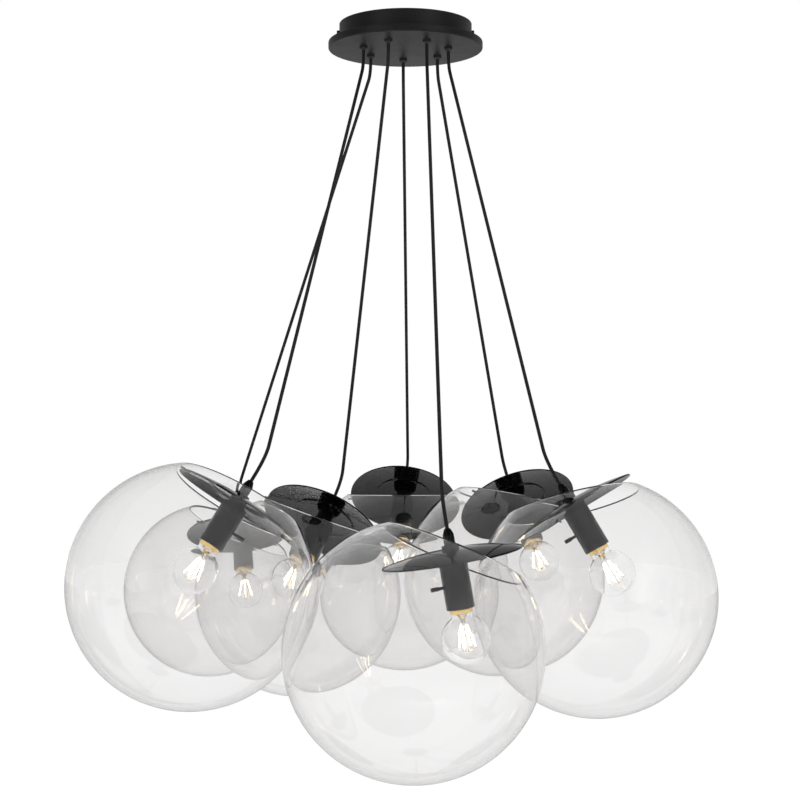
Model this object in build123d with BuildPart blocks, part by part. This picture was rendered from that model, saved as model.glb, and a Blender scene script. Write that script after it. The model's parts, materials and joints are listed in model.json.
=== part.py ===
from build123d import *
import os
from math import cos, pi, radians, sin, sqrt, tan

# Cluster pendant: seven clear glass globes, each hung on its own cable from one round
# ceiling canopy. Millimetres, +Z up, +Y away from the viewer. The origin is on the
# ceiling at the middle of the canopy.

os.makedirs("parts", exist_ok=True)

# Canopy: a drum against the ceiling with a wider round plate under it
drum_r = 90.0
drum_height = 24.0
drum_wall = 1.5
plate_r = 105.0
plate_height = 10.0
plate_floor = 3.0
plate_rim = 19.0
plate_round = 2.0
flange_width = 4.0
plate_seat = -drum_height
plate_face = plate_seat - plate_height
floor_top = plate_face + plate_floor

# Ceiling bracket: a strap with its ends turned down inside the drum
strap_width = 22.0
strap_thick = 2.5
strap_gap = 1.5
strap_bend = 3.0
leg_depth = 18.0
leg_x = drum_r - drum_wall - strap_gap
ceiling_hole_r = 2.6
ceiling_hole_pcd = 70.0
side_screw_r = 2.0
side_screw_drop = 12.0
side_screw_head_r = 4.0
side_screw_head = 3.5
thread_gap = 0.05
earth_x = -55.0
earth_screw_head_r = 4.0
earth_screw_head = 2.6

# Terminal block under the strap
block_length = 40.0
block_width = 18.0
block_height = 15.0
block_round = 2.0
block_well_r = 2.2
block_well_depth = 5.0
block_well_pitch = 13.0

# Cables, their glands in the plate and their leads inside the canopy
pendant_count = 7
hole_ring_r = 59.0
first_hole_deg = 10.0
cable_r = 2.25
gland_gap = 0.1
gland_r = 4.5
gland_collar_r = 5.5
gland_tip_r = 3.6
gland_collar = 5.0
gland_thread = 8.0
nut_r = 7.5
nut_height = 4.0
lead_bite = 4.0
cable_gap = 0.4
cable_drop = 20.0
cable_tail = 34.0
run_share = 0.45

# Disc: a shallow spun dome that closes the globe's mouth, with two pins under its lip
mouth_r = 85.0
disc_gap = 3.0
pin_bite = 3.0
disc_r = mouth_r - disc_gap
disc_rise = 9.0
disc_thick = 2.0
disc_rim_round = 0.8
disc_flat_r = 12.0
disc_hole_r = 5.2
disc_rib_ring_r = 41.0
disc_rib_r = 1.6
pin_r = 1.5
pin_reach = mouth_r + pin_bite
pin_root = 14.0

# Cord grip on the disc
grip_stud_r = 5.0
grip_stud = 5.5
grip_foot_r = 10.0
grip_foot = 5.0
grip_body_r = 6.5
grip_body = 12.0
grip_tip_r = 3.6
grip_tip = 7.0

# Lampholder, hung under the disc
neck_r = 11.0
neck_length = 8.0
neck_bore_r = 5.1
neck_bore = 6.5
holder_r = 16.5
holder_shoulder = 5.0
holder_length = 59.0
holder_bore_r = 13.9
holder_bore = 21.0
peg_r = 2.5
peg_length = 15.0
peg_drop = 32.0

# Bulb: a screw cap, a glass envelope and a stem with four filament sticks
cap_r = 13.25
cap_show = 5.0
cap_contact_r = 5.0
cap_contact = 2.0
cap_cone = 3.0
thread_ridges = 4
thread_depth = 0.8
bulb_r = 29.0
bulb_length = 60.0
bulb_neck_r = 12.6
bulb_neck_round = 6.0
bulb_wall = 0.8
stem_flare_r = 8.0
stem_flare = 12.0
stem_r = 2.0
stem_length = 46.0
stick_count = 4
stick_r = 0.9
stick_top_r = 2.6
stick_foot_r = 11.0
stick_foot_rise = 4.0
wire_r = 0.5

# Globes
glass_wall = 3.0
lip_round = 1.0
glass_gap = 0.3
large_r = 150.0
small_r = 140.0

# Each pendant: its hole, counted round the ring, its globe's radius and centre, the way
# its globe's mouth faces and the way its disc's top faces.
pendants = {
    "a": (3, large_r, (-260, -279, -748), (0.45, 0.27, 0.85), (0.52, 0.15, 0.84)),
    "b": (4, small_r, (-288, 264, -787), (0.42, -0.15, 0.90), (-0.10, 0.35, 0.93)),
    "c": (2, small_r, (-147, 3, -774), (0.33, 0.00, 0.94), (0.36, 0.50, 0.79)),
    "d": (5, large_r, (-2, 331, -765), (0.00, 0.00, 1.00), (0.10, 0.60, 0.79)),
    "e": (6, small_r, (137, 72, -756), (0.20, 0.10, 0.97), (-0.25, 0.56, 0.79)),
    "f": (1, large_r, (8, -408, -814), (0.38, 0.15, 0.91), (-0.17, -0.05, 0.98)),
    "g": (0, large_r, (236, -214, -765), (-0.22, 0.20, 0.95), (-0.50, 0.12, 0.86)),
}


def hole_place(number):
    """Centre of a cable hole, counted round the ring from the first."""
    turn = radians(first_hole_deg + number * 360.0 / pendant_count)
    return Vector(hole_ring_r * cos(turn), -hole_ring_r * sin(turn), 0)


def rod(start, end, radius):
    """A round bar from one point to another."""
    with BuildPart() as bar:
        with BuildSketch(Plane(origin=start, z_dir=end - start)):
            Circle(radius)
        extrude(amount=(end - start).length)
    return bar.part


def corner_radii(points):
    """Radius of the arc at each inner point: as large as the shorter of its runs allows."""
    radii = []
    for before, point, after in zip(points, points[1:], points[2:]):
        shorter = min((point - before).length, (after - point).length)
        half_turn = radians((point - before).get_angle(after - point)) / 2
        radii.append(run_share * shorter / tan(half_turn))
    return radii


def route_length(points, radii):
    """Length of the filleted route: its runs, less what each arc saves."""
    length = sum((after - before).length for before, after in zip(points, points[1:]))
    for before, point, after, radius in zip(points, points[1:], points[2:], radii):
        half_turn = radians((point - before).get_angle(after - point)) / 2
        length -= 2 * radius * (tan(half_turn) - half_turn)
    return length


def tube(points, radius):
    """A cable's solid: straight runs joined by tangent arcs, with its radii and a check."""
    radii = corner_radii(points)
    with BuildPart() as hose:
        with BuildLine() as route:
            FilletPolyline(*points, radius=radii)
        with BuildSketch(Plane(origin=points[0], z_dir=points[1] - points[0])):
            Circle(radius)
        sweep(path=route.wires()[0])
    share = hose.part.volume / (pi * radius**2 * route_length(points, radii))
    print("   length", round(route_length(points, radii), 1), "volume share", round(share, 4),
          "radii", [round(r, 1) for r in radii])
    return hose.part


def finish(piece, name):
    """Label a piece and write its file."""
    piece.label = name
    export_step(piece, "parts/" + name + ".step")


holes = [hole_place(number) for number in range(pendant_count)]
gland_face = plate_face - gland_collar

# ---- Canopy ----

with BuildPart() as ceiling_bracket:
    with BuildSketch(Plane.XZ) as strap_side:
        Rectangle(2 * leg_x, leg_depth, align=(Align.CENTER, Align.MAX))
        fillet(strap_side.vertices().group_by(Axis.Y)[-1], strap_bend)
        with Locations((0, -strap_thick)):
            Rectangle(2 * (leg_x - strap_thick), leg_depth,
                      align=(Align.CENTER, Align.MAX), mode=Mode.SUBTRACT)
    extrude(amount=strap_width / 2, both=True)
    with BuildSketch(Plane.XY):
        with GridLocations(ceiling_hole_pcd, 0, 2, 1):
            Circle(ceiling_hole_r)
        with Locations((earth_x, 0)):
            Circle(side_screw_r + thread_gap)
    extrude(amount=-strap_thick, mode=Mode.SUBTRACT)
    with BuildSketch(Plane.YZ):
        with Locations((0, -side_screw_drop)):
            Circle(side_screw_r + thread_gap)
    extrude(amount=leg_x, both=True, mode=Mode.SUBTRACT)
finish(ceiling_bracket.part, "ceiling_bracket")

with BuildPart() as canopy_cup:
    with BuildSketch(Plane.XZ) as cup_section:
        with BuildLine():
            Polyline((drum_r, 0), (drum_r, plate_seat),
                     (drum_r - drum_wall - flange_width, plate_seat),
                     (drum_r - drum_wall - flange_width, plate_seat + drum_wall),
                     (drum_r - drum_wall, plate_seat + drum_wall),
                     (drum_r - drum_wall, 0), close=True)
        make_face()
    revolve(axis=Axis.Z)
    with BuildSketch(Plane.YZ):
        with Locations((0, -side_screw_drop)):
            Circle(side_screw_r + thread_gap)
    extrude(amount=drum_r + drum_wall, both=True, mode=Mode.SUBTRACT)
finish(canopy_cup.part, "canopy_cup")

with BuildPart() as canopy_plate:
    with BuildSketch(Plane.XY.offset(plate_face)):
        Circle(plate_r)
    extrude(amount=plate_height)
    fillet(canopy_plate.edges().filter_by(GeomType.CIRCLE), plate_round)
    with BuildSketch(Plane.XY.offset(floor_top)):
        Circle(plate_r - plate_rim)
    extrude(amount=plate_height, mode=Mode.SUBTRACT)
    with BuildSketch(Plane.XY.offset(plate_face)):
        with Locations(*[(hole.X, hole.Y) for hole in holes]):
            Circle(gland_r + thread_gap)
    extrude(amount=plate_height, mode=Mode.SUBTRACT)
finish(canopy_plate.part, "canopy_plate")

with BuildPart() as cord_glands:
    for hole in holes:
        with BuildSketch(Plane.XZ.offset(-hole.Y)) as gland_section:
            with BuildLine():
                Polyline((hole.X + cable_r + gland_gap, gland_face),
                         (hole.X + gland_tip_r, gland_face),
                         (hole.X + gland_collar_r, plate_face - gland_collar / 2),
                         (hole.X + gland_collar_r, plate_face),
                         (hole.X + gland_r, plate_face),
                         (hole.X + gland_r, plate_face + gland_thread),
                         (hole.X + cable_r + gland_gap, plate_face + gland_thread), close=True)
            make_face()
        revolve(axis=Axis(hole, (0, 0, 1)))
finish(cord_glands.part, "cord_glands")

with BuildPart() as gland_nuts:
    with BuildSketch(Plane.XY.offset(floor_top)):
        with Locations(*[(hole.X, hole.Y) for hole in holes]):
            RegularPolygon(nut_r, 6)
            Circle(gland_r + thread_gap, mode=Mode.SUBTRACT)
    extrude(amount=nut_height)
finish(gland_nuts.part, "gland_nuts")

with BuildPart() as terminal_block:
    with BuildSketch(Plane.XY.offset(-strap_thick)):
        RectangleRounded(block_length, block_width, block_round)
    extrude(amount=-block_height)
    with BuildSketch(Plane.XY.offset(-strap_thick - block_height)):
        with GridLocations(block_well_pitch, 0, 3, 1):
            Circle(block_well_r)
    extrude(amount=block_well_depth, mode=Mode.SUBTRACT)
finish(terminal_block.part, "terminal_block")

with BuildPart() as earth_screw:
    with BuildSketch(Plane.XY):
        with Locations((earth_x, 0)):
            Circle(side_screw_r)
    extrude(amount=-strap_thick - earth_screw_head)
    with BuildSketch(Plane.XY.offset(-strap_thick)):
        with Locations((earth_x, 0)):
            Circle(earth_screw_head_r)
    extrude(amount=-earth_screw_head)
    fillet(earth_screw.edges().group_by(Axis.Z)[0], earth_screw_head / 3)
finish(earth_screw.part, "earth_screw")

with BuildPart() as canopy_screws:
    for side in (-1, 1):
        with BuildSketch(Plane(origin=(side * (leg_x - strap_thick), 0, -side_screw_drop),
                               z_dir=(side, 0, 0))):
            Circle(side_screw_r)
        extrude(amount=drum_r - leg_x + strap_thick)
        with BuildSketch(Plane(origin=(side * drum_r, 0, -side_screw_drop),
                               z_dir=(side, 0, 0))):
            Circle(side_screw_head_r)
        extrude(amount=side_screw_head)
    fillet(canopy_screws.edges().group_by(Axis.X)[0], side_screw_head / 4)
    fillet(canopy_screws.edges().group_by(Axis.X)[-1], side_screw_head / 4)
finish(canopy_screws.part, "canopy_screws")


def block_edge(direction):
    """Distance from the block's middle to its side along a level direction."""
    reach_x = block_length / 2 / max(abs(direction.X), 0.001)
    reach_y = block_width / 2 / max(abs(direction.Y), 0.001)
    return min(reach_x, reach_y)


lead_level = -strap_thick - block_height / 2
leads = []
for hole in holes:
    inward = hole.normalized()
    bend = Vector(hole.X, hole.Y, lead_level)
    entry = inward * (block_edge(inward) - lead_bite) + Vector(0, 0, lead_level)
    leads.append(tube([Vector(hole.X, hole.Y, gland_face), bend, entry], cable_r))

with BuildPart() as inner_leads:
    add(leads)
finish(inner_leads.part, "inner_leads")

# ---- Pendants ----

cap_top = -holder_length + holder_bore
cap_end = -holder_length - cap_show
shell_top = cap_top - cap_contact - cap_cone
bulb_middle = cap_end - bulb_length + bulb_r

for letter, (number, globe_r, middle, mouth, tilt) in pendants.items():
    globe_middle = Vector(*middle)
    mouth_way = Vector(*mouth).normalized()
    up = Vector(*tilt).normalized()
    across = mouth_way.cross(up).normalized()

    # The disc's pins carry the glass by the underside of its lip.
    inner_r = globe_r - glass_wall
    pin_height = sqrt(inner_r**2 - pin_reach**2) - glass_gap - pin_r
    disc_middle = globe_middle + mouth_way * pin_height
    section = Plane(origin=disc_middle, x_dir=across, z_dir=across.cross(up))
    stem_line = Axis(disc_middle, up)
    dome_top = disc_thick / 2 + disc_rise
    dome_under = dome_top - disc_thick
    low_side = (up * up.Z - Vector(0, 0, 1)).normalized()

    # Disc, with the rib round its underside and the two pins at its rim
    pins = [rod(disc_middle + across * side * (pin_reach - pin_root),
                disc_middle + across * side * pin_reach, pin_r) for side in (-1, 1)]
    with BuildPart() as disc:
        with BuildSketch(section) as disc_section:
            with BuildLine():
                top = TangentArc((disc_flat_r, dome_top), (disc_r, disc_thick / 2),
                                 tangent=(1, 0))
                under = TangentArc((disc_flat_r, dome_under), (disc_r, -disc_thick / 2),
                                   tangent=(1, 0))
                Line(top @ 1, under @ 1)
                Polyline(top @ 0, (disc_hole_r, dome_top), (disc_hole_r, dome_under), under @ 0)
            make_face()
            fillet(disc_section.vertices().sort_by_distance((disc_r, 0))[:2], disc_rim_round)
            rib_x = disc_rib_ring_r - disc_flat_r
            dome_bend_r = ((disc_r - disc_flat_r)**2 + disc_rise**2) / (2 * disc_rise)
            rib_y = dome_under - dome_bend_r + sqrt(dome_bend_r**2 - rib_x**2)
            with Locations((disc_rib_ring_r, rib_y)):
                Circle(disc_rib_r)
        revolve(axis=stem_line)
        add(pins)
    finish(disc.part, "disc_" + letter)

    # Cord grip: its stud goes down through the disc into the lampholder's neck
    grip_top = dome_top + grip_foot + grip_body + grip_tip
    with BuildPart() as cord_grip:
        with BuildSketch(section) as grip_section:
            with BuildLine():
                Polyline((0, dome_top - grip_stud), (grip_stud_r, dome_top - grip_stud),
                         (grip_stud_r, dome_top), (grip_foot_r, dome_top),
                         (grip_foot_r, dome_top + grip_foot),
                         (grip_body_r, dome_top + grip_foot),
                         (grip_body_r, grip_top - grip_tip),
                         (grip_tip_r, grip_top), (0, grip_top), close=True)
            make_face()
        revolve(axis=stem_line)
    finish(cord_grip.part, "cord_grip_" + letter)

    # Cable: down out of its gland, straight to the disc, and square into the grip
    print("cable_" + letter)
    cable_start = holes[number] + Vector(0, 0, gland_face - cable_gap)
    cable_end = disc_middle + up * grip_top
    cable = tube([cable_start, cable_start - Vector(0, 0, cable_drop),
                  cable_end + up * cable_tail, cable_end], cable_r)
    finish(cable, "cable_" + letter)

    # Lampholder: a neck, a shoulder and an open socket, with its clamping screw
    with BuildPart() as lampholder:
        with BuildSketch(section) as holder_section:
            with BuildLine():
                Polyline((0, dome_under - neck_bore), (neck_bore_r, dome_under - neck_bore),
                         (neck_bore_r, dome_under), (neck_r, dome_under),
                         (neck_r, dome_under - neck_length))
                TangentArc((holder_r, dome_under - neck_length - holder_shoulder),
                           (neck_r, dome_under - neck_length), tangent=(0, 1))
                Polyline((holder_r, dome_under - neck_length - holder_shoulder),
                         (holder_r, -holder_length), (holder_bore_r, -holder_length),
                         (holder_bore_r, cap_top), (0, cap_top),
                         (0, dome_under - neck_bore))
            make_face()
        revolve(axis=stem_line)
        with BuildSketch(Plane(origin=disc_middle - up * peg_drop, z_dir=low_side)):
            Circle(peg_r)
        extrude(amount=holder_r + peg_length)
    finish(lampholder.part, "lampholder_" + letter)

    # Bulb base: cap with its rolled thread, and the stem with the filament sticks
    stem_top = disc_middle + up * cap_end
    sticks = []
    for stick in range(stick_count):
        turn = radians(360.0 / stick_count * (stick + 0.5))
        outward = across * cos(turn) + up.cross(across) * sin(turn)
        head = stem_top - up * stem_flare + outward * stick_top_r
        foot = stem_top - up * (stem_length - stick_foot_rise) + outward * stick_foot_r
        sticks.append(rod(head, foot, stick_r))
        sticks.append(rod(stem_top - up * (stem_length - wire_r), foot, wire_r))
    ridge = (shell_top - cap_end) / (thread_ridges + 1)
    with BuildPart() as bulb_base:
        with BuildSketch(section) as cap_section:
            with BuildLine():
                Polyline((0, cap_end), (0, cap_top), (cap_contact_r, cap_top),
                         (cap_contact_r, cap_top - cap_contact),
                         (cap_r - thread_depth, shell_top))
                for step in range(thread_ridges):
                    ThreePointArc((cap_r - thread_depth, shell_top - step * ridge),
                                  (cap_r, shell_top - (step + 0.5) * ridge),
                                  (cap_r - thread_depth, shell_top - (step + 1) * ridge))
                Polyline((cap_r - thread_depth, shell_top - thread_ridges * ridge),
                         (cap_r, shell_top - thread_ridges * ridge - thread_depth),
                         (cap_r, cap_end), (0, cap_end))
            make_face()
        revolve(axis=stem_line)
        with BuildSketch(section) as stem_section:
            with BuildLine():
                Polyline((0, cap_end), (stem_flare_r, cap_end),
                         (stem_r, cap_end - stem_flare), (stem_r, cap_end - stem_length),
                         (0, cap_end - stem_length), close=True)
            make_face()
        revolve(axis=stem_line)
        add(sticks)
    finish(bulb_base.part, "bulb_base_" + letter)

    # Bulb glass: one thin round envelope, drawn in at the neck to meet the cap
    outer_join = bulb_middle + sqrt(bulb_r**2 - bulb_neck_r**2)
    inner_neck_r = bulb_neck_r - bulb_wall
    inner_bulb_r = bulb_r - bulb_wall
    inner_join = bulb_middle + sqrt(inner_bulb_r**2 - inner_neck_r**2)
    with BuildPart() as bulb_glass:
        with BuildSketch(section) as envelope_section:
            with BuildLine():
                Line((bulb_neck_r, cap_end), (bulb_neck_r, outer_join))
                ThreePointArc((bulb_neck_r, outer_join), (bulb_r, bulb_middle),
                              (0, bulb_middle - bulb_r))
                Line((0, bulb_middle - bulb_r), (0, bulb_middle - inner_bulb_r))
                ThreePointArc((0, bulb_middle - inner_bulb_r), (inner_bulb_r, bulb_middle),
                              (inner_neck_r, inner_join))
                Polyline((inner_neck_r, inner_join), (inner_neck_r, cap_end),
                         (bulb_neck_r, cap_end))
            make_face()
            fillet(envelope_section.vertices().sort_by_distance(
                (bulb_neck_r, outer_join))[0], bulb_neck_round)
            fillet(envelope_section.vertices().sort_by_distance(
                (inner_neck_r, inner_join))[0], bulb_neck_round + bulb_wall)
        revolve(axis=stem_line)
    finish(bulb_glass.part, "bulb_glass_" + letter)

    # Globe: a blown sphere with a round mouth and a fire-polished lip
    lip_out = sqrt(globe_r**2 - mouth_r**2)
    lip_in = sqrt(inner_r**2 - mouth_r**2)
    globe_plane = Plane(origin=globe_middle, x_dir=across, z_dir=across.cross(mouth_way))
    with BuildPart() as globe:
        with BuildSketch(globe_plane) as globe_section:
            with BuildLine():
                ThreePointArc((mouth_r, lip_out), (globe_r, 0), (0, -globe_r))
                Line((0, -globe_r), (0, -inner_r))
                ThreePointArc((0, -inner_r), (inner_r, 0), (mouth_r, lip_in))
                Line((mouth_r, lip_in), (mouth_r, lip_out))
            make_face()
            fillet(globe_section.vertices().sort_by_distance(
                (mouth_r, lip_out))[:2], lip_round)
        revolve(axis=Axis(globe_middle, mouth_way))
    finish(globe.part, "globe_" + letter)

    print("   hinge", [round(v, 2) for v in holes[number] + Vector(0, 0, gland_face)],
          "tilt between disc and mouth", round(mouth_way.get_angle(up), 1))
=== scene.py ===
# %% [markdown]
# # A cluster pendant in clear glass
# Seven blown globes hang from one black ceiling canopy. Each globe is closed by a shallow
# black disc, and a filament bulb hangs under the disc. Nearly every piece is round about
# its own line, so one small tool, a profile carried once round a line, makes most of the
# lamp. What is left is the cables, which are curves, and the finishes.

# %% Start from the fixed frame
import json
import bpy
import numpy as np
from mathutils import Matrix


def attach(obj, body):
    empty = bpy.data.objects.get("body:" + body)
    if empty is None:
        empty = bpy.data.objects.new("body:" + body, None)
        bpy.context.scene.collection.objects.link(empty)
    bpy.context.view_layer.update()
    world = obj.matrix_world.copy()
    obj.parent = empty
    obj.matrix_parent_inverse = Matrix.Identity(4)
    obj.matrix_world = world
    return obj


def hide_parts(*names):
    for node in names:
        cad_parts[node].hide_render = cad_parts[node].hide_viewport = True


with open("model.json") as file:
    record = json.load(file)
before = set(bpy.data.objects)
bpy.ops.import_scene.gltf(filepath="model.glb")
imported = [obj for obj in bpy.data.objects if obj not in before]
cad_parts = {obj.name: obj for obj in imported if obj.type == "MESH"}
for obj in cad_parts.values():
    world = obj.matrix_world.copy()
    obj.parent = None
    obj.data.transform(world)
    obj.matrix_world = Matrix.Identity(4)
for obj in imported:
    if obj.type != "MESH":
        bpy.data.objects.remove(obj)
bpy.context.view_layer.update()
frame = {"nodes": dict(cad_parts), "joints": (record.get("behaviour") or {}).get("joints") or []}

# %% [markdown]
# ## The seven pendants
# The sizes are in metres and are the real ones. Each pendant has its own globe, the way
# its globe's mouth faces and the way its disc faces, because the lamps lean on each other
# and no two hang alike. The ceiling is at height zero. Each pendant swings about its
# hinge, which the frame gives.

# %% Globes, directions and cable lengths
large_r, small_r = 0.150, 0.140
# letter: globe radius, globe centre, mouth direction, disc direction, cable length
pendants = {
    "a": (large_r, (-0.260, -0.279, -0.748), (0.45, 0.27, 0.85), (0.52, 0.15, 0.84), 0.642),
    "b": (small_r, (-0.288, 0.264, -0.787), (0.42, -0.15, 0.90), (-0.10, 0.35, 0.93), 0.704),
    "c": (small_r, (-0.147, 0.003, -0.774), (0.33, 0.00, 0.94), (0.36, 0.50, 0.79), 0.627),
    "d": (large_r, (-0.002, 0.331, -0.765), (0.00, 0.00, 1.00), (0.10, 0.60, 0.79), 0.671),
    "e": (small_r, (0.137, 0.072, -0.756), (0.20, 0.10, 0.97), (-0.25, 0.56, 0.79), 0.609),
    "f": (large_r, (0.008, -0.408, -0.814), (0.38, 0.15, 0.91), (-0.17, -0.05, 0.98), 0.728),
    "g": (large_r, (0.236, -0.214, -0.765), (-0.22, 0.20, 0.95), (-0.50, 0.12, 0.86), 0.629),
}
hinges = {joint["child"][-1]: np.array(joint["pos_m"]) for joint in frame["joints"]}
print(len(pendants), "pendants, hinges at", sorted(hinges))

# %% [markdown]
# ## Where each pendant stands
# The disc's middle sits on the globe's own axis, just below the lip, where its two pins
# carry the glass. The line of those pins is square to both the mouth's direction and the
# disc's, so it is their cross product.

# %% The seat of one pendant
glass_wall, mouth_r, glass_gap = 0.003, 0.085, 0.0003
pin_r, pin_bite = 0.0015, 0.003
pin_reach = mouth_r + pin_bite


def unit(vector):
    """The vector over its own length."""
    vector = np.array(vector, float)
    return vector / np.linalg.norm(vector)


def seat_of(letter):
    """Middle of the disc, the way up out of it, and the line of its pins."""
    globe_r, globe_middle, mouth, tilt, _ = pendants[letter]
    mouth_way, up = unit(mouth), unit(tilt)
    lip_height = np.sqrt((globe_r - glass_wall)**2 - pin_reach**2)
    middle = np.array(globe_middle) + mouth_way * (lip_height - glass_gap - pin_r)
    return middle, up, unit(np.cross(mouth_way, up))


print("disc of pendant a at", np.round(seat_of("a")[0], 3))

# %% [markdown]
# ## One tool for everything round
# A spun disc, a blown globe, a turned cap and a moulded gland are all a profile carried
# once round a line. Working the grid out as whole arrays keeps it quick, and it lets us
# say how many steps each piece needs, so that a glass edge stays round in close view.
# Faces that point inwards would turn the glass inside out, so the skin checks its own
# volume, which is negative when they do.

# %% A closed skin over a grid, and a profile carried round a line
def skin(grid, ring):
    """Points and outward faces over rows of points, each row closed into a circle.

    A row whose points coincide becomes one pole. A ring's last row joins its first. Six
    times the volume is the sum of a . (b x c) + a . (c x d) over the faces a, b, c, d.
    """
    rows, turns = grid.shape[:2]
    index = np.arange(rows * turns).reshape(rows, turns)
    pole = np.ptp(grid, axis=1).max(axis=1) < 1e-7
    index[pole] = index[pole][:, :1]
    used, index = np.unique(index, return_inverse=True)
    index = index.reshape(rows, turns)
    points = grid.reshape(-1, 3)[used]
    near, far = (index, np.roll(index, -1, 0)) if ring else (index[:-1], index[1:])
    quads = np.stack([near, np.roll(near, -1, 1), np.roll(far, -1, 1), far], 2)
    a, b, c, d = (points[quads[..., k]] for k in range(4))
    if (a * (np.cross(b, c) + np.cross(c, d))).sum() < 0:
        quads = quads[..., ::-1]
    faces = []
    for row in quads:
        corners = [k for k in range(4) if row[0, k] != row[0, k - 1]]
        faces += row[:, corners].tolist()
    return points, faces


def turned(profile, start, along, across, turns, ring=False, ripple=0.0):
    """Points and faces of a profile of (radius, height) pairs carried round a line.

    The point at profile step i and turn j is start + height_i * along + radius_ij *
    (cos(angle_j) * across + sin(angle_j) * sideways), where sideways is along x across
    and radius_ij is the profile's radius and the ripple there.
    """
    radius, height = np.array(profile, float).T
    along, across = unit(along), unit(across)
    sideways = np.cross(along, across)
    angle = np.linspace(0, 2 * np.pi, turns, endpoint=False)
    round_way = np.outer(np.cos(angle), across) + np.outer(np.sin(angle), sideways)
    spread = radius[:, None] + ripple * np.ones(turns)
    grid = np.array(start) + height[:, None, None] * along + spread[..., None] * round_way
    return skin(grid, ring)


def joined(*shapes):
    """Several (points, faces) pairs as one."""
    points, faces, offset = [], [], 0
    for shape_points, shape_faces in shapes:
        points.append(shape_points)
        faces += [[v + offset for v in face] for face in shape_faces]
        offset += len(shape_points)
    return np.concatenate(points), faces


test_ring = turned([(1, 0), (2, 0), (2, 1)], (0, 0, 0), (0, 0, 1), (1, 0, 0), 12, ring=True)
print("a test ring has", len(test_ring[1]), "faces")

# %% [markdown]
# A piece is shaded smooth, with sharp edges kept only where two faces meet at a clear
# angle. It rides on one body of the frame, and it may stand for a plainer CAD node.

# %% A piece of the lamp
sharp_angle = np.radians(32)


def add_piece(name, shape, material, body, nodes=()):
    """A mesh from points and faces, smooth, riding on its body in place of its nodes."""
    points, faces = shape
    mesh = bpy.data.meshes.new(name)
    mesh.from_pydata(points.tolist(), [], faces)
    mesh.polygons.foreach_set("use_smooth", np.ones(len(mesh.polygons), bool))
    mesh.set_sharp_from_angle(angle=sharp_angle)
    mesh.materials.append(material)
    piece = bpy.data.objects.new(name, mesh)
    bpy.context.scene.collection.objects.link(piece)
    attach(piece, body)
    if nodes:
        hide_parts(*nodes)
    return piece


print("edges sharper than", round(np.degrees(sharp_angle)), "degrees stay sharp")

# %% [markdown]
# Corners on real spun and moulded parts are never quite sharp. The next helper rounds each
# corner of a profile with a short arc, so that an edge catches a thin line of light.

# %% Arcs and rounded corners for profiles
def arc(middle, radius, first, last, steps):
    """Points of an arc: middle + radius * (sin, cos) of angles from the top, in degrees."""
    angle = np.radians(np.linspace(first, last, steps))
    return np.array(middle) + radius * np.column_stack([np.sin(angle), np.cos(angle)])


def bend(start, corner, end, steps):
    """A curve from start to end: (1-t)^2 * start + 2t(1-t) * corner + t^2 * end."""
    t = np.linspace(0, 1, steps)[:, None]
    return (1 - t)**2 * start + 2 * t * (1 - t) * corner + t**2 * end


def eased(profile, radius, steps=5):
    """The profile with each inner corner cut back by radius along both sides, and bent."""
    profile = [np.array(p, float) for p in profile]
    out = [profile[0]]
    for before, corner, after in zip(profile, profile[1:], profile[2:]):
        back, on = before - corner, after - corner
        reach = min(radius, np.linalg.norm(back) * 0.45, np.linalg.norm(on) * 0.45)
        out.extend(bend(corner + unit(back) * reach, corner, corner + unit(on) * reach, steps))
    return [*out, profile[-1]]


print("an eased square corner has", len(eased([(0, 0), (1, 0), (1, 1)], 0.1)), "points")

# %% [markdown]
# ## Finishes
# Each finish is one Principled shader with a little unevenness read from Object
# coordinates: paint has a fine orange peel, enamel is only a little cloudy, and brass and
# zinc have stains. A finish is a small net of nodes, so the first helper makes a node and
# fills its sockets in one call, each with a value or with the end of a link.

# %% Nodes
def plug(tree, node, sockets):
    """Give each named socket of a node its value, or a link where the value is an output."""
    for socket, value in sockets.items():
        if isinstance(value, bpy.types.NodeSocket):
            tree.links.new(value, node.inputs[socket])
        else:
            node.inputs[socket].default_value = value
    return node


def add_node(tree, kind, sockets, **settings):
    """A new shader node of a kind, with its settings made before its sockets are filled."""
    node = tree.nodes.new("ShaderNode" + kind)
    for name, value in settings.items():
        setattr(node, name, value)
    return plug(tree, node, sockets)


def combine(tree, operation, first, second):
    """Two values through one Math node."""
    return add_node(tree, "Math", {0: first, 1: second}, operation=operation).outputs[0]


def mixed(tree, factor, first, second):
    """The first shader where the factor is 0, and the second where it is 1."""
    mix = add_node(tree, "MixShader", {"Fac": factor, 1: first, 2: second})
    return mix.outputs["Shader"]


print("node helpers ready")

# %% [markdown]
# Wear makes the roughness and the colour drift together by one slow noise, as handling
# and cleaning do. A second, finer noise lifts the skin.

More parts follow.
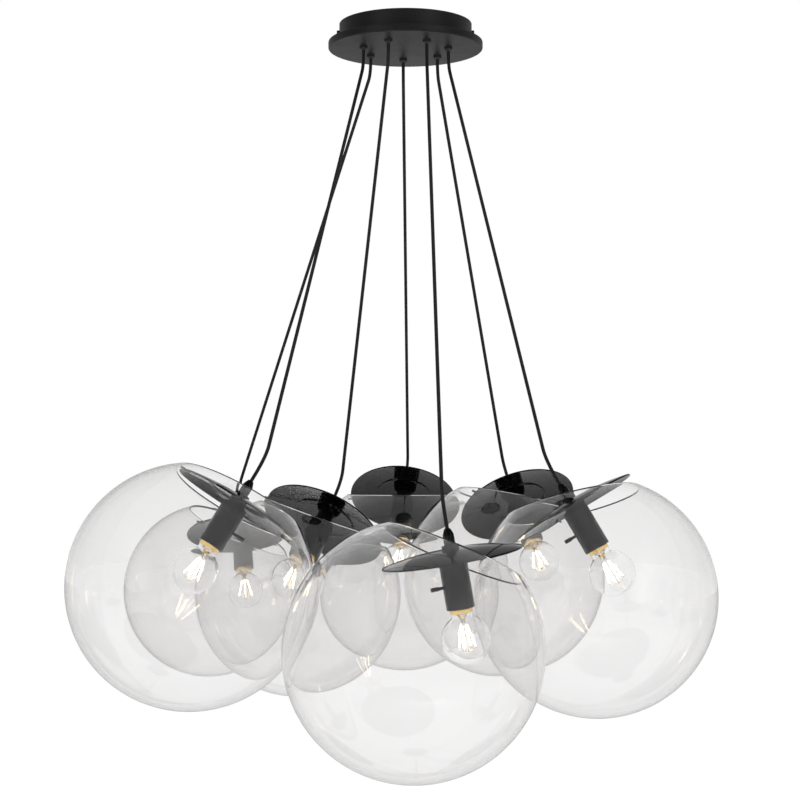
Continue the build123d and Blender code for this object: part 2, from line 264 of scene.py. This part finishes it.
# %% Finishes of the solid pieces
def finish(name, colour, roughness, metallic=0.0, wear=0.0, scale=40.0, bump=0.0,
           bump_scale=400.0, **sockets):
    """A Principled material whose roughness and colour drift by noise and whose skin is bumpy."""
    material = bpy.data.materials.new(name)
    material.use_nodes = True
    tree = material.node_tree
    shader = plug(tree, tree.nodes["Principled BSDF"], {
        "Base Color": (*colour, 1), "Metallic": metallic, "Roughness": roughness,
        **{socket.replace("_", " "): value for socket, value in sockets.items()}})
    place = add_node(tree, "TexCoord", {}).outputs["Object"]
    if wear:
        noise = add_node(tree, "TexNoise", {"Vector": place, "Scale": scale, "Detail": 5})
        drift = noise.outputs["Fac"]
        rough = add_node(tree, "MapRange", {
            "Value": drift, "To Min": max(roughness - wear, 0.02), "To Max": roughness + wear})
        tint = add_node(tree, "Mix", {
            "Factor": drift, "A": (*[c * (1 - wear) for c in colour], 1),
            "B": (*[min(c * (1 + wear), 1) for c in colour], 1)}, data_type="RGBA")
        plug(tree, shader, {"Roughness": rough.outputs["Result"],
                            "Base Color": tint.outputs["Result"]})
    if bump:
        grain = add_node(tree, "TexNoise", {"Vector": place, "Scale": bump_scale, "Detail": 3})
        relief = add_node(tree, "Bump", {
            "Strength": bump, "Distance": 0.0005, "Height": grain.outputs["Fac"]})
        plug(tree, shader, {"Normal": relief.outputs["Normal"]})
    return material


satin_black = finish("satin_black_paint", (0.009, 0.009, 0.010), 0.42, wear=0.06, bump=0.06,
                     bump_scale=700, Specular_IOR_Level=0.22)
gloss_black = finish("black_enamel", (0.002, 0.002, 0.0025), 0.04, wear=0.015, scale=14,
                     Specular_IOR_Level=0.2)
holder_black = finish("black_holder", (0.006, 0.006, 0.006), 0.24, wear=0.05, scale=60,
                      bump=0.03, Specular_IOR_Level=0.35)
gland_black = finish("black_gland", (0.015, 0.015, 0.015), 0.5, wear=0.08, bump=0.1)
block_white = finish("terminal_plastic", (0.78, 0.77, 0.72), 0.45, wear=0.05, bump=0.05)
zinc = finish("zinc_plate", (0.62, 0.63, 0.66), 0.33, metallic=1.0, wear=0.12, scale=90)
sheath = finish("cable_sheath", (0.012, 0.012, 0.013), 0.5, wear=0.06, scale=120,
                Specular_IOR_Level=0.25)
brass = finish("cap_brass", (0.86, 0.62, 0.27), 0.24, metallic=1.0, wear=0.1, scale=110,
               bump=0.05, bump_scale=300)
print("materials in the file:", len(bpy.data.materials))

# %% [markdown]
# Blown glass has slow waves in its skin. The globes also hold a thin grey absorption, so
# that the glass darkens towards its rim, where light runs a long way inside the wall. A
# true glass shader casts a black shadow unless light is traced through it at length, so
# shadow rays pass a nearly clear shader instead.

# %% Clear glass
def clear_glass(name, waves=0.0, absorb=0.0):
    """Glass that bends light, with waves in its skin and a grey of this density inside."""
    material = finish(name, (1, 1, 1), 0.0, bump=waves, bump_scale=9.0,
                      Transmission_Weight=1.0, IOR=1.46)
    tree = material.node_tree
    out = tree.nodes["Material Output"]
    shadow = add_node(tree, "LightPath", {}).outputs["Is Shadow Ray"]
    pass_by = add_node(tree, "BsdfTransparent", {"Color": (0.93, 0.93, 0.93, 1)})
    plug(tree, out, {"Surface": mixed(tree, shadow, tree.nodes["Principled BSDF"].outputs[0],
                                      pass_by.outputs[0])})
    if absorb:
        grey = add_node(tree, "VolumeAbsorption", {
            "Color": (0.56, 0.54, 0.53, 1), "Density": absorb})
        plug(tree, out, {"Volume": grey.outputs["Volume"]})
    return material


globe_glass = clear_glass("globe_glass", waves=0.03, absorb=46.0)
bulb_glass = clear_glass("bulb_glass")
stem_glass = clear_glass("stem_glass")
print("glass finishes:", [m.name for m in (globe_glass, bulb_glass, stem_glass)])

# %% [markdown]
# The filament sticks of such a bulb are thin rods with a yellow coat that glow when the
# lamp is lit. The photograph shows them lit, almost white with a warm edge, so they give
# a little light of their own.

# %% Lit filament sticks
filament_glow = 9.0
stick_glow = finish("filament_stick", (1.0, 0.86, 0.55), 0.5, wear=0.1, scale=300)
plug(stick_glow.node_tree, stick_glow.node_tree.nodes["Principled BSDF"], {
    "Emission Color": (1.0, 0.80, 0.50, 1), "Emission Strength": filament_glow})
wire_metal = finish("support_wire", (0.72, 0.68, 0.62), 0.3, metallic=1.0, wear=0.1)
print("filament glow", filament_glow)

# %% [markdown]
# ## The camera
# The photograph looks level along +Y from about two and a half metres. Its horizon lies
# below the middle of the picture, so the lens is shifted up and not tilted, which keeps
# the cables' heights true.

# %% Camera
picture = 800
focal_px = 1800
horizon_px = 477
camera_place = (-0.0075, -2.450, -0.6158)
camera_data = bpy.data.cameras.new("camera")
camera_data.sensor_width = 36
camera_data.lens = focal_px / picture * camera_data.sensor_width
camera_data.shift_y = (horizon_px - picture / 2) / picture
camera = bpy.data.objects.new("camera", camera_data)
camera.location = camera_place
camera.rotation_euler = (np.pi / 2, 0, 0)
bpy.context.scene.collection.objects.link(camera)
bpy.context.scene.camera = camera
print("lens", round(camera_data.lens, 1), "mm, shift", round(camera_data.shift_y, 4))

# %% [markdown]
# ## The cables
# Each cable leaves its gland straight down, runs in one straight line because the lamp's
# weight pulls it taut, and turns into its cord grip square to the disc. The route's points
# are the control points of one smooth spline. A point each side of the long stretch keeps
# that stretch straight.

# %% Cables
cable_r, cable_gap, cable_drop, cable_tail = 0.00225, 0.0004, 0.020, 0.034
disc_rise, disc_thick, grip_height = 0.009, 0.002, 0.024
dome_top = disc_thick / 2 + disc_rise


def cable_route(letter):
    """Control points: the exit, the end of the drop, the long run's ends, and the grip."""
    middle, up, _ = seat_of(letter)
    exit_point = hinges[letter] - np.array([0, 0, cable_gap])
    drop_end = exit_point - np.array([0, 0, cable_drop])
    grip_end = middle + up * (dome_top + grip_height)
    tail_start = grip_end + up * cable_tail
    run = unit(tail_start - drop_end)
    return [exit_point, drop_end, drop_end + run * cable_drop,
            tail_start - run * cable_tail, tail_start, grip_end]


def make_cable(letter):
    """One open NURBS line through a round section, laid taut along its route."""
    curve = bpy.data.curves.new("cable_line_" + letter, "CURVE")
    curve.dimensions = "3D"
    curve.bevel_depth = cable_r
    curve.bevel_resolution = 6
    curve.use_fill_caps = True
    curve.resolution_u = 16
    line = curve.splines.new("NURBS")
    route = cable_route(letter)
    line.points.add(len(route) - 1)
    for point, spot in zip(line.points, route):
        point.co = (*spot, 1)
    line.order_u = 3
    line.use_endpoint_u = True
    curve.materials.append(sheath)
    piece = bpy.data.objects.new("cable_line_" + letter, curve)
    bpy.context.scene.collection.objects.link(piece)
    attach(piece, "pendant_" + letter)
    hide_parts("cable_" + letter)


for letter in pendants:
    make_cable(letter)
print("cables", {letter: row[4] for letter, row in pendants.items()})

# %% [markdown]
# ## The canopy
# The canopy is a drum against the ceiling with a wider, thicker plate under it. Both are
# spun steel with satin paint. The plate is a pan with a round rim, and the drum stands in
# from its edge, which leaves the bright step that the photograph shows. The drum's edge
# stops a hair short of the ceiling.

# %% Canopy drum and plate
origin, up_way, right_way = (0, 0, 0), (0, 0, 1), (1, 0, 0)
drum_r, drum_height, drum_wall, drum_flange, drum_clear = 0.090, 0.024, 0.0015, 0.004, 0.0006
plate_r, plate_height, plate_floor, plate_rim = 0.105, 0.010, 0.003, 0.019
plate_face = -drum_height - plate_height
drum_inside = drum_r - drum_wall
drum = [(drum_r, -drum_clear), (drum_r, -drum_height), (drum_inside - drum_flange, -drum_height),
        (drum_inside - drum_flange, -drum_height + drum_wall),
        (drum_inside, -drum_height + drum_wall), (drum_inside, -drum_clear)]
add_piece("canopy_drum",
          turned(eased(drum, radius=0.0006), origin, up_way, right_way, 160, ring=True),
          satin_black, "canopy", ["canopy_cup"])

pan = [(0, plate_face), (plate_r, plate_face), (plate_r, -drum_height),
       (plate_r - plate_rim, -drum_height), (plate_r - plate_rim, plate_face + plate_floor),
       (0, plate_face + plate_floor)]
add_piece("canopy_pan",
          turned(eased(pan, radius=0.002, steps=7), origin, up_way, right_way, 192),
          satin_black, "canopy", ["canopy_plate"])
print("plate face at", round(plate_face, 3))

# %% [markdown]
# Each cable hangs out of a small moulded gland, a collar that tapers to its lower face,
# with a thread that goes up through the plate. All seven are one piece of the scene, since
# they are one node of the frame.

# %% Glands
gland_collar_r, gland_tip_r, gland_collar = 0.0055, 0.0036, 0.005
gland_r, gland_thread, gland_bore_r = 0.0045, 0.008, cable_r + 0.0001
gland_line = [(gland_bore_r, plate_face - gland_collar), (gland_tip_r, plate_face - gland_collar),
              (gland_collar_r, plate_face - gland_collar / 2), (gland_collar_r, plate_face),
              (gland_r, plate_face), (gland_r, plate_face + gland_thread),
              (gland_bore_r, plate_face + gland_thread)]
glands = [turned(gland_line, (hinge[0], hinge[1], 0), up_way, right_way, 32, ring=True)
          for hinge in hinges.values()]
add_piece("gland_set", joined(*glands), gland_black, "canopy", ["cord_glands"])
print("glands made:", len(glands))

# %% [markdown]
# The bracket, nuts, screws, terminal block and leads are small, plain or hidden, so the
# solids of the frame serve as they are and only get a better finish.

# %% Finishes of the plain parts inside the canopy
plain_parts = {"ceiling_bracket": zinc, "gland_nuts": gland_black, "earth_screw": zinc,
               "terminal_block": block_white, "canopy_screws": satin_black,
               "inner_leads": sheath}
for node, material in plain_parts.items():
    frame["nodes"][node].data.materials.clear()
    frame["nodes"][node].data.materials.append(material)
print("inside parts finished:", sorted(plain_parts))

# %% [markdown]
# ## Disc and cord grip
# The disc is a shallow spun dome. Its underside carries a raised ring, which shows in the
# photograph as an eye of light round the holder. Two short pins at its rim go under the
# glass's lip. The cord grip is a turned collar on the crown of the disc.

# %% The disc's profile
disc_gap, disc_flat_r, disc_hole_r, disc_rim, disc_rim_r = 0.003, 0.012, 0.0052, 0.0008, 0.001
rib_ring_r, rib_r = 0.041, 0.0016
disc_r = mouth_r - disc_gap
dome_under = dome_top - disc_thick
dome_bend_r = ((disc_r - disc_flat_r)**2 + disc_rise**2) / (2 * disc_rise)


def dome_line(level, first_r, last_r, steps):
    """Heights of the dome: level, less bend radius, plus the root of bend^2 - (r - flat)^2."""
    radius = np.linspace(first_r, last_r, steps)
    lean = np.maximum(radius - disc_flat_r, 0)
    return np.column_stack([radius, level - dome_bend_r + np.sqrt(dome_bend_r**2 - lean**2)])


def disc_profile():
    """Crown, top, rounded rim, underside with its raised ring, and back to the hole.

    The ring lowers the underside by the root of rib^2 - (r - ring)^2.
    """
    top = dome_line(dome_top, disc_hole_r, disc_r - disc_rim, 40)
    rim = arc((disc_r - disc_rim_r, 0), disc_rim_r, 20, 160, 7)
    under = dome_line(dome_under, disc_r - disc_rim, disc_hole_r, 90)
    under[:, 1] -= np.sqrt(np.maximum(rib_r**2 - (under[:, 0] - rib_ring_r)**2, 0))
    return np.concatenate([top, rim, under])


print("discs bend with radius", round(dome_bend_r, 3))

# %% [markdown]
# The pins start inside the rim, so that each is held in the disc's own metal. The grip
# goes through the crown's hole on a short plug, and its top tapers to the cable.

# %% Discs and grips
pin_root = 0.014
plug_r, plug_depth = 0.005, 0.0055
grip_foot_r, grip_foot, grip_r, grip_waist, grip_tip_r = 0.010, 0.005, 0.0065, 0.017, 0.0036
pin_line = eased([(0, pin_reach - pin_root), (pin_r, pin_reach - pin_root),
                  (pin_r, pin_reach), (0, pin_reach)], radius=0.0005)
grip_line = eased([(0, dome_top - plug_depth), (plug_r, dome_top - plug_depth),
                   (plug_r, dome_top), (grip_foot_r, dome_top),
                   (grip_foot_r, dome_top + grip_foot), (grip_r, dome_top + grip_foot),
                   (grip_r, dome_top + grip_waist), (grip_tip_r, dome_top + grip_height),
                   (0, dome_top + grip_height)], radius=0.0006)
for letter in pendants:
    middle, up, across = seat_of(letter)
    dome = turned(disc_profile(), middle, up, across, 144, ring=True)
    pins = [turned(pin_line, middle, across * side, up, 20) for side in (-1, 1)]
    add_piece("disc_dome_" + letter, joined(dome, *pins), gloss_black, "pendant_" + letter,
              ["disc_" + letter])
    add_piece("grip_collar_" + letter, turned(grip_line, middle, up, across, 40),
              gloss_black, "pendant_" + letter, ["cord_grip_" + letter])
print("disc radius", round(disc_r, 3), "and pins reach", round(pin_reach, 3))

# %% [markdown]
# ## Lampholder
# A narrow neck, a round shoulder and a long plain sleeve, open below for the bulb. A small
# clamping screw stands out of the sleeve's lower side. The sleeve's lip is slightly eased.

# %% Lampholders
neck_r, neck_length, plug_bore_r, plug_bore = 0.011, 0.008, 0.0051, 0.0065
holder_r, holder_shoulder, holder_end = 0.0165, 0.005, -0.059
holder_bore_r, cap_top = 0.0139, -0.038
screw_r, screw_neck, screw_root = 0.0018, 0.006, holder_r * 0.8
peg_r, peg_length, peg_drop = 0.0025, 0.015, 0.032
shoulder_turn = np.linspace(0, np.pi / 2, 8)
shoulder = np.column_stack([
    neck_r + (holder_r - neck_r) * np.sin(shoulder_turn),
    dome_under - neck_length - holder_shoulder * (1 - np.cos(shoulder_turn))])
sleeve_line = eased([(0, dome_under - plug_bore), (plug_bore_r, dome_under - plug_bore),
                     (plug_bore_r, dome_under), (neck_r, dome_under), *shoulder,
                     (holder_r, holder_end), (holder_bore_r, holder_end),
                     (holder_bore_r, cap_top), (0, cap_top)], radius=0.0005, steps=4)
screw_line = eased([(0, screw_root), (screw_r, screw_root), (screw_r, holder_r + screw_neck),
                    (peg_r, holder_r + screw_neck), (peg_r, holder_r + peg_length),
                    (0, holder_r + peg_length)], radius=0.0004)
for letter in pendants:
    middle, up, across = seat_of(letter)
    low_side = unit(up * up[2] - np.array(up_way))
    sleeve = turned(sleeve_line, middle, up, across, 72)
    screw = turned(screw_line, middle - up * peg_drop, low_side, up, 24)
    add_piece("holder_sleeve_" + letter, joined(sleeve, screw), holder_black,
              "pendant_" + letter, ["lampholder_" + letter])
print("holder sleeve is", round(sleeve_line[0][1] - holder_end, 3), "m long")

# %% [markdown]
# ## Bulb
# The cap's thread is rolled, so its ridges are round and climb as a helix: they are a
# ripple on the cap's radius, the sine of height / pitch + turn, with both counted in full
# waves. The ripple fades out at both ends of the shell.

# %% Bulb caps with a rolled thread
cap_r, cap_end, cap_turns = 0.01325, -0.064, 72
contact_r, contact_height, cone_r = 0.005, 0.002, 0.0115
thread_pitch, thread_depth, thread_fade = 0.0036, 0.0007, 0.002
shell_top, shell_end = cap_top - 0.005, cap_end + 0.0035
height = np.linspace(shell_top, shell_end, 70)
turn = np.linspace(0, 2 * np.pi, cap_turns, endpoint=False)
fade = np.clip(np.minimum(height - shell_end, shell_top - height) / thread_fade, 0, 1)
wave = np.sin(2 * np.pi * height[:, None] / thread_pitch + turn)
cap_head = [(0, cap_top), (contact_r, cap_top), (contact_r, cap_top - contact_height),
            (cone_r, shell_top)]
cap_foot = [(cap_r, shell_end), (cap_r, cap_end), (0, cap_end)]
shell = np.column_stack([np.full(len(height), cap_r - thread_depth / 2), height])
thread = np.pad(thread_depth / 2 * wave * fade[:, None],
                ((len(cap_head), len(cap_foot)), (0, 0)))
for letter in pendants:
    middle, up, across = seat_of(letter)
    cap = turned([*cap_head, *shell, *cap_foot], middle, up, across, cap_turns, ripple=thread)
    add_piece("cap_shell_" + letter, cap, brass, "pendant_" + letter,
              ["bulb_base_" + letter])
print("thread ridges on a cap:", round((shell_top - shell_end) / thread_pitch, 1))

# %% [markdown]
# Inside the envelope stands a glass stem with four filament sticks on fine wires, spread
# towards the bottom. A stick is welded at its foot to a wire from the stem's end, and at
# its head to one that goes up into the stem.

# %% Stems, wires and filament sticks
stem_flare_r, stem_flare, stem_r, stem_length = 0.008, 0.012, 0.002, 0.046
stick_count, stick_r, wire_r = 4, 0.0009, 0.0003
stick_head_out, stick_foot_out, stick_foot_rise = 0.0034, 0.011, 0.004
head_trim, foot_trim, weld_lap = 0.003, 0.002, 0.0002
wire_root, wire_root_out, wire_end = 0.003, 0.0015, 0.0005
stem_line = eased([(0, cap_end), (stem_flare_r, cap_end), (stem_flare_r / 2, cap_end - stem_flare / 2),
                   (stem_r, cap_end - stem_flare), (stem_r, cap_end - stem_length + stem_r),
                   (0, cap_end - stem_length)], radius=0.0015)


def bar(start, end, radius, sides=12):
    """A rod with round ends from one point to another."""
    length = np.linalg.norm(end - start)
    way = unit(end - start)
    side = unit(np.cross(way, (0.31, 0.83, 0.46)))
    cap = [(radius * np.sin(t), radius * (1 - np.cos(t))) for t in (0, 0.5, 1.0, np.pi / 2)]
    line = cap + [(r, length - h) for r, h in reversed(cap)]
    return turned(line, start, way, side, sides)


def stick_and_wires(top, up, outward):
    """One stick, and its wires from the stem's upper part, from its end and at the foot."""
    head = top - up * stem_flare + outward * stick_head_out
    foot = top - up * (stem_length - stick_foot_rise) + outward * stick_foot_out
    way = unit(foot - head)
    stick = bar(head + way * head_trim, foot - way * foot_trim, stick_r)
    wires = [bar(top - up * (stem_flare - wire_root) + outward * wire_root_out,
                 head + way * (head_trim + weld_lap), wire_r, sides=8),
             bar(top - up * (stem_length - wire_end), foot, wire_r, sides=8),
             bar(foot, foot - way * (foot_trim + weld_lap), wire_r, sides=8)]
    return stick, wires


for letter in pendants:
    middle, up, across = seat_of(letter)
    body, sideways = "pendant_" + letter, np.cross(up, across)
    add_piece("stem_" + letter, turned(stem_line, middle, up, across, 32), stem_glass,
              body)
    sticks, wires = [], []
    for angle in (np.arange(stick_count) + 0.5) * 2 * np.pi / stick_count:
        outward = across * np.cos(angle) + sideways * np.sin(angle)
        stick, stick_wires = stick_and_wires(middle + up * cap_end, up, outward)
        sticks.append(stick)
        wires += stick_wires
    add_piece("filaments_" + letter, joined(*sticks), stick_glow, body)
    add_piece("wires_" + letter, joined(*wires), wire_metal, body)
print("filament sticks per bulb:", stick_count)

# %% [markdown]
# The envelope is a thin round skin that draws in to a neck on the cap. Its profile runs up
# the outside and down the inside, so the wall is real and bends light on both faces.

# %% Bulb envelopes
bulb_r, bulb_length, bulb_neck_r, bulb_wall = 0.029, 0.060, 0.0126, 0.0008
neck_ease, neck_turn, neck_rise = 0.0045, 9, 0.0002
bulb_middle = cap_end - bulb_length + bulb_r


def envelope(radius, neck):
    """Neck, a soft shoulder and a round globe, as (radius, height) pairs from the neck down."""
    join = np.degrees(np.arcsin(neck / radius))
    neck_end = bulb_middle + radius * np.cos(np.radians(join)) + neck_rise
    ball = arc((0, bulb_middle), radius, join + neck_turn, 180, 44)
    ball[-1, 0] = 0
    throat = eased([(neck, cap_end), (neck, neck_end), ball[0]], neck_ease, steps=9)
    return np.concatenate([throat[:-1], ball])


outer = envelope(bulb_r, bulb_neck_r)
inner = envelope(bulb_r - bulb_wall, bulb_neck_r - bulb_wall)
bulb_line = np.concatenate([outer[::-1], inner])
for letter in pendants:
    middle, up, across = seat_of(letter)
    add_piece("bulb_envelope_" + letter, turned(bulb_line, middle, up, across, 72),
              bulb_glass, "pendant_" + letter, ["bulb_glass_" + letter])
print("bulb envelope points", len(bulb_line))

# %% [markdown]
# ## Globes
# A blown globe is two spheres, one inside the other, joined at the lip. The lip is fire
# polished: a half round the thickness of the wall. Because the profile goes out, over the
# lip and back inside, the mesh is one closed skin of real thickness, and light bends in it
# as in the real wall.

# %% Globes
lip_back_out, lip_back_in, lip_bulge = 0.0016, 0.0014, 0.0030


def globe_profile(outer_r):
    """The outer sphere from its bottom to the lip, the bent lip, and the inner one back."""
    inner_r = outer_r - glass_wall
    out_angle = np.degrees(np.arcsin((mouth_r + lip_back_out) / outer_r))
    in_angle = np.degrees(np.arcsin((mouth_r + lip_back_in) / inner_r))
    outside = arc((0, 0), outer_r, 180, out_angle, 84)
    inside = arc((0, 0), inner_r, in_angle, 180, 84)
    outside[0, 0] = inside[-1, 0] = 0
    edge = (outside[-1] + inside[0]) / 2 - np.array([lip_bulge, 0])
    return np.concatenate([outside, bend(outside[-1], edge, inside[0], 8)[1:-1], inside])


for letter, (globe_r, globe_middle, mouth, _, _) in pendants.items():
    across = seat_of(letter)[2]
    add_piece("glass_globe_" + letter,
              turned(globe_profile(globe_r), globe_middle, mouth, across, 144),
              globe_glass, "pendant_" + letter, ["globe_" + letter])
print("globes made, walls", glass_wall, "m")

# %% [markdown]
# ## World
# The backdrop is white where the camera looks, and glass sees it too. Gloss needs something
# to show, so the world that glossy rays see is bright behind the lamp and dark before it,
# with two tall soft windows in front, left and right of the camera. A light path tells
# which ray asks.

# %% What glossy rays see
world = bpy.data.worlds.new("studio")
bpy.context.scene.world = world
world.use_nodes = True
sky = world.node_tree
sky.nodes.clear()
way = add_node(sky, "TexCoord", {}).outputs["Generated"]
split = add_node(sky, "SeparateXYZ", {0: way}).outputs
window_edge, window_light = 0.12, 1.6
window_foot, window_head, window_front = (-0.45, 0.05), (0.25, 0.85), (-0.25, -0.05)
dark, bright = 0.14, 0.80


def ramp(value, low, high, start, end):
    """Start below low, end above high, and a smooth step from one to the other between."""
    return add_node(sky, "MapRange", {
        "Value": value, "From Min": low, "From Max": high, "To Min": start, "To Max": end},
        interpolation_type="SMOOTHSTEP").outputs["Result"]


def window(left, right):
    """A tall soft-edged window in front of the lamp, between two directions along X."""
    across = combine(sky, "MULTIPLY",
                     ramp(split["X"], left - window_edge, left + window_edge, 0, 1),
                     ramp(split["X"], right - window_edge, right + window_edge, 1, 0))
    tall = combine(sky, "MULTIPLY", ramp(split["Z"], *window_foot, 0, 1),
                   ramp(split["Z"], *window_head, 1, 0))
    front = ramp(split["Y"], *window_front, window_light, 0)
    return combine(sky, "MULTIPLY", combine(sky, "MULTIPLY", across, tall), front)


behind = ramp(split["Y"], -0.35, 0.75, dark, bright)
above = ramp(split["Z"], -0.05, 0.35, 1.0, 0.35)
seen_gloss = combine(sky, "ADD", combine(sky, "MULTIPLY", behind, above),
                     combine(sky, "ADD", window(-0.72, -0.52), window(0.50, 0.74)))
print("world nodes so far:", len(sky.nodes))

# %% [markdown]
# All other rays, which light the object, get one softer grey, so that the black pieces
# keep their shading. The three parts are chosen one after the other, and the camera's own
# rays come last, because nothing may overrule them.

# %% World
def background(strength):
    """A plain white background shader."""
    return add_node(sky, "Background", {
        "Color": (1, 1, 1, 1), "Strength": strength}).outputs[0]


ray = add_node(sky, "LightPath", {}).outputs
soft_strength = 0.55
surround = mixed(sky, ray["Is Glossy Ray"], background(soft_strength), background(seen_gloss))
white = background(1)
surround = mixed(sky, ray["Is Transmission Ray"], surround, white)
surround = mixed(sky, ray["Is Camera Ray"], surround, white)
add_node(sky, "OutputWorld", {"Surface": surround})
print("world made, soft light", soft_strength)

# %% [markdown]
# ## Floor
# A pale floor far below keeps the object's shadow. To the camera and through the glass it
# is mostly its own white light, so that no line shows where floor and backdrop meet.

# %% Floor
floor_height, floor_reach, floor_light, floor_share = -1.60, 20, 1.18, 0.8
floor_mesh = bpy.data.meshes.new("floor")
floor_mesh.from_pydata([(x * floor_reach, y * floor_reach, floor_height)
                        for x, y in ((-1, -1), (1, -1), (1, 1), (-1, 1))], [], [(0, 1, 2, 3)])
floor = bpy.data.objects.new("floor", floor_mesh)
bpy.context.scene.collection.objects.link(floor)
pale = finish("pale_floor", (0.85, 0.85, 0.85), 0.9)
ground = pale.node_tree
plain_white = add_node(ground, "Emission", {"Strength": floor_light}).outputs[0]
seen = add_node(ground, "LightPath", {}).outputs
either = combine(ground, "MAXIMUM", seen["Is Camera Ray"], seen["Is Transmission Ray"])
paint = ground.nodes["Principled BSDF"].outputs["BSDF"]
shown = mixed(ground, combine(ground, "MULTIPLY", either, floor_share), paint, plain_white)
plug(ground, ground.nodes["Material Output"], {"Surface": shown})
floor_mesh.materials.append(pale)
print("floor at", floor_height)

# %% [markdown]
# ## Lamps
# Four soft boxes round the lamp give the light its direction. Their hard outlines would
# show as patches on enamel and glass, so they are hidden from those rays, and the world's
# soft windows stand in for them. A bulb behind several globes is seen through many layers
# of glass, so light may bounce more often than usual before it is given up.

# %% Soft boxes
lamps_aim = np.array((0, 0, -0.70))
most_bounces = 40


def soft_box(name, place, size, power):
    """A rectangular area lamp that looks at the middle of the cluster."""
    data = bpy.data.lights.new(name, "AREA")
    data.shape = "RECTANGLE"
    data.size, data.size_y = size
    data.energy = power
    lamp = bpy.data.objects.new(name, data)
    lamp.location = place
    lamp.visible_glossy = lamp.visible_transmission = False
    back = unit(np.array(place) - lamps_aim)
    side = unit(np.cross(up_way, back))
    turn = np.column_stack([side, np.cross(back, side), back])
    lamp.rotation_mode = "QUATERNION"
    lamp.rotation_quaternion = Matrix(turn.tolist()).to_quaternion()
    bpy.context.scene.collection.objects.link(lamp)


soft_box("box_left", (-1.9, -1.7, -0.1), size=(0.5, 1.5), power=22)
soft_box("box_right", (2.0, -1.4, -0.2), size=(0.5, 1.5), power=18)
soft_box("box_top", (0.3, -0.6, 1.3), size=(1.2, 1.2), power=16)
soft_box("box_low", (0.2, -1.6, -1.45), size=(0.9, 0.4), power=6)
bpy.context.scene.view_settings.view_transform = "Standard"
for limit in ("max_bounces", "transmission_bounces", "transparent_max_bounces"):
    setattr(bpy.context.scene.cycles, limit, most_bounces)
print("lamps on:", len(bpy.data.lights))
